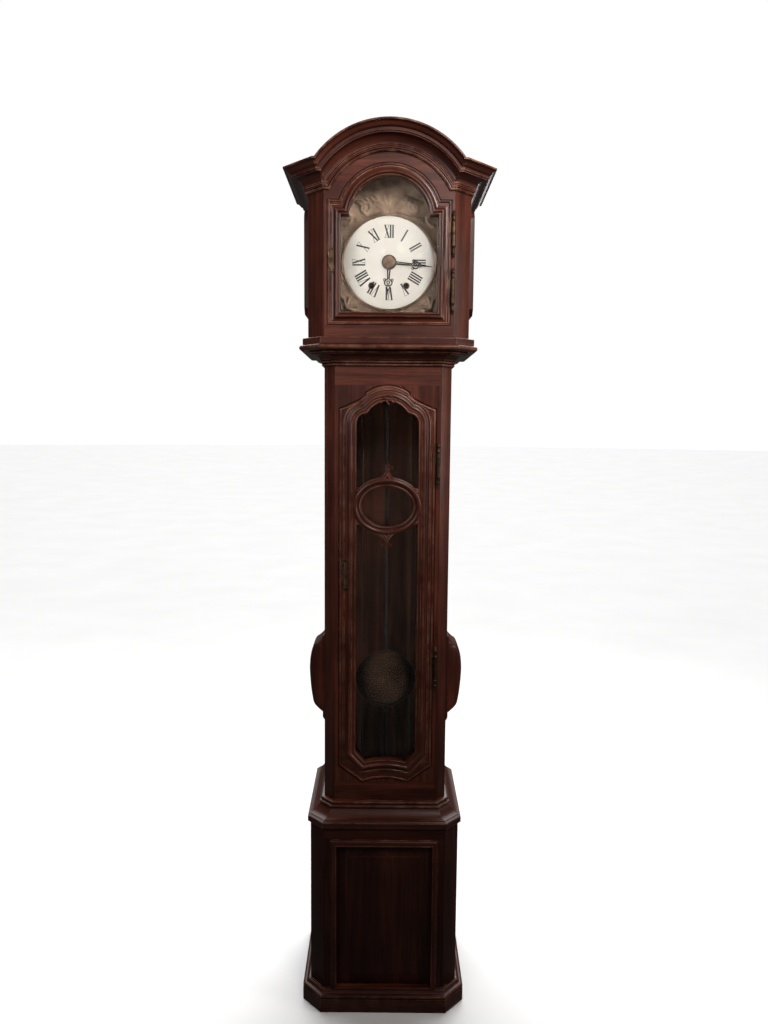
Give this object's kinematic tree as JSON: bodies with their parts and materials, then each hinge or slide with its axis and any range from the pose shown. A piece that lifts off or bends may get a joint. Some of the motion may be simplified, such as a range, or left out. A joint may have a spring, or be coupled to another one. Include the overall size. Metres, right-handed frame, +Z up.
{
  "type": "grandfather clock",
  "caption": "Longcase clock with an arched hood, an enamel dial, a long glazed trunk door with an oval window, side bulges and a swinging disc pendulum.",
  "frame": {"origin": "on the floor, under the middle of the clock's bounding box", "axes": "+Z up, the dial faces -Y, +X to the viewer's right"},
  "size_m": [0.551, 0.402, 2.413],
  "materials": {
    "walnut": "waxed dark walnut",
    "panel_wood": "waxed dark walnut panel",
    "carcass_wood": "unpolished softwood",
    "glass": "bevelled clear glass",
    "bronze": "darkened cast bronze",
    "embossed_brass": "stamped sheet brass",
    "enamel": "white vitreous enamel on copper",
    "blued_steel": "darkened steel",
    "iron": "blackened iron",
    "steel": "bright steel",
    "brass": "polished sheet brass",
    "hemp": "laid hemp cord"
  },
  "bodies": {
    "case": {"plinth_moulding": "walnut", "base_floor": "carcass_wood", "base_front_frame": "walnut", "base_front_panel": "panel_wood", "base_corner_left": "walnut", "base_corner_right": "walnut", "base_side_left": "panel_wood", "base_side_right": "panel_wood", "base_top_moulding": "walnut", "trunk_front_frame": "walnut", "trunk_corner_left": "walnut", "trunk_corner_right": "walnut", "trunk_side_left": "panel_wood", "trunk_side_right": "panel_wood", "side_bulge_left": "walnut", "side_bulge_right": "walnut", "waist_moulding": "walnut", "back_board": "carcass_wood", "hood_front_frame": "walnut", "hood_corner_left": "walnut", "hood_corner_right": "walnut", "hood_side_left": "walnut", "hood_side_right": "walnut", "hood_roof": "carcass_wood", "hood_cornice": "walnut", "hood_hinge_lower_pintle": "bronze", "hood_hinge_upper_pintle": "bronze", "trunk_hinge_lower_pintle": "bronze", "trunk_hinge_upper_pintle": "bronze", "dial_surround": "embossed_brass", "enamel_dial": "enamel", "seat_board": "carcass_wood", "movement_frame": "iron", "bell": "brass", "weight_cord_left": "hemp", "weight_cord_right": "hemp"},
    "hood_door": {"hood_door_frame": "walnut", "hood_door_glass": "glass", "hood_door_escutcheon": "bronze", "hood_hinge_lower_knuckle": "bronze", "hood_hinge_upper_knuckle": "bronze"},
    "trunk_door": {"trunk_door_frame": "walnut", "trunk_door_glass_upper": "glass", "trunk_door_glass_oval": "glass", "trunk_door_glass_lower": "glass", "trunk_door_escutcheon": "bronze", "trunk_hinge_lower_knuckle": "bronze", "trunk_hinge_upper_knuckle": "bronze"},
    "minute_hand": {"minute_hand": "blued_steel"},
    "hour_hand": {"hour_hand": "blued_steel"},
    "pendulum": {"pendulum_rod": "steel", "pendulum_bob": "brass", "rating_nut": "brass"},
    "weight_left": {"weight_left": "iron"},
    "weight_right": {"weight_right": "iron"},
    "drum_left": {"drum_left": "brass"},
    "drum_right": {"drum_right": "brass"},
    "bell_hammer": {"bell_hammer": "iron"}
  },
  "joints": [
    {"name": "hood_door_hinge", "type": "hinge", "parent": "case", "child": "hood_door", "pos_m": [0.1644, -0.1448, 2], "axis": [0, 0, 1], "range_deg": [0, 110]},
    {"name": "trunk_door_hinge", "type": "hinge", "parent": "case", "child": "trunk_door", "pos_m": [0.13725, -0.1043, 1.2], "axis": [0, 0, 1], "range_deg": [0, 110]},
    {"name": "minute_hand_turn", "type": "hinge", "parent": "case", "child": "minute_hand", "pos_m": [0, -0.08, 2.0887], "axis": [0, 1, 0], "continuous": true},
    {"name": "hour_hand_turn", "type": "hinge", "parent": "case", "child": "hour_hand", "pos_m": [0, -0.08, 2.0887], "axis": [0, 1, 0], "continuous": true},
    {"name": "pendulum_swing", "type": "hinge", "parent": "case", "child": "pendulum", "pos_m": [0, -0.03, 2.1497], "axis": [0, 1, 0], "range_deg": [-4, 4]},
    {"name": "weight_left_drop", "type": "slide", "parent": "case", "child": "weight_left", "axis": [0, 0, 1], "range_m": [0, 1.45], "deforming": ["weight_cord_left"]},
    {"name": "weight_right_drop", "type": "slide", "parent": "case", "child": "weight_right", "axis": [0, 0, 1], "range_m": [0, 1.45], "deforming": ["weight_cord_right"]},
    {"name": "drum_left_turn", "type": "hinge", "parent": "case", "child": "drum_left", "pos_m": [-0.046, 0.065, 2.029], "axis": [0, 1, 0], "range_deg": [0, 3480]},
    {"name": "drum_right_turn", "type": "hinge", "parent": "case", "child": "drum_right", "pos_m": [0.046, 0.065, 2.029], "axis": [0, 1, 0], "range_deg": [-3480, 0]},
    {"name": "bell_hammer_lift", "type": "hinge", "parent": "case", "child": "bell_hammer", "pos_m": [0.087, 0.065, 2.185], "axis": [0, 1, 0], "range_deg": [0, 12], "stiffness_Nm_per_rad": 0.2}
  ],
  "couplings": [
    {"joint": "hour_hand_turn", "follows": "minute_hand_turn", "ratio": 0.083333},
    {"joint": "drum_left_turn", "follows": "weight_left_drop", "rad_per_m": 41.667},
    {"joint": "drum_right_turn", "follows": "weight_right_drop", "rad_per_m": -41.667}
  ]
}
